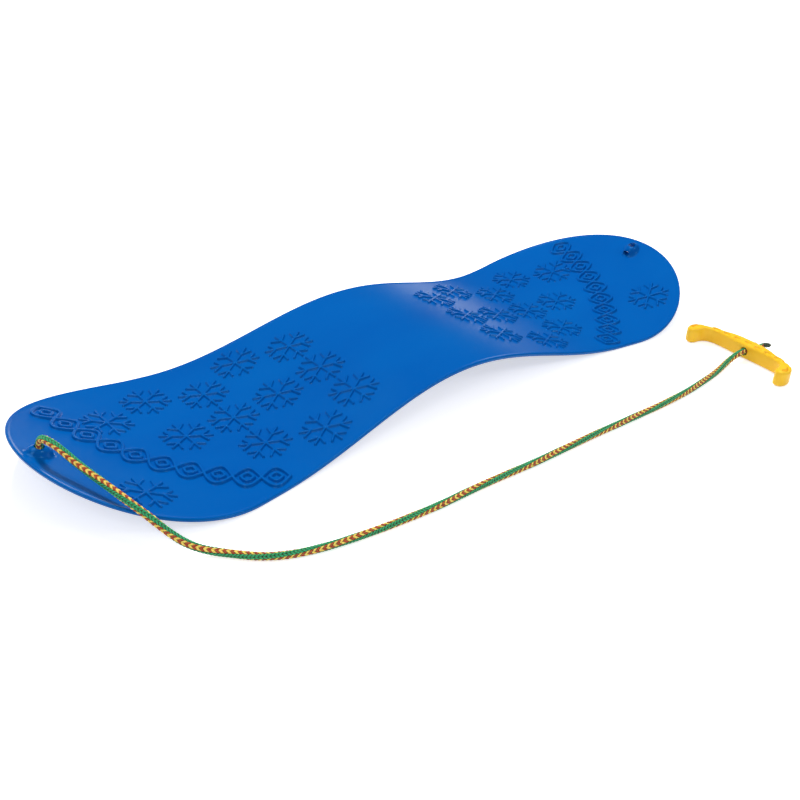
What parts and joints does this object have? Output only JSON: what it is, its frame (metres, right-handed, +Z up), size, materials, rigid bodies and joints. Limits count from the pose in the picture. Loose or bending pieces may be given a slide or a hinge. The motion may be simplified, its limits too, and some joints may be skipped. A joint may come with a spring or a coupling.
{
  "type": "snowboard",
  "caption": "Child's moulded plastic snowboard, waved along its length and curled up at both tips, with raised snowflakes, a braided tow rope and a pull handle",
  "frame": {"origin": "on the ground under the middle of the board, at the centre of the board's bounding box seen from above", "axes": "+X along the board, away from the eyelet that holds the rope; +Y across it, away from the side where the rope lies; +Z up"},
  "size_m": [0.72, 0.3615, 0.0545],
  "materials": {
    "board_plastic": "smooth glossy moulding",
    "rope_yarn": "braided synthetic yarn",
    "handle_plastic": "smooth glossy moulding"
  },
  "bodies": {
    "board": {"board": "board_plastic", "tow_rope": "rope_yarn", "eyelet_knot": "rope_yarn", "handle_knot": "rope_yarn"},
    "handle": {"tow_handle": "handle_plastic"}
  },
  "joints": [
    {"name": "handle_turn", "type": "hinge", "parent": "board", "child": "handle", "pos_m": [0.2836, -0.1909, 0.008], "axis": [0.9976, -0.0698, 0], "continuous": true}
  ]
}
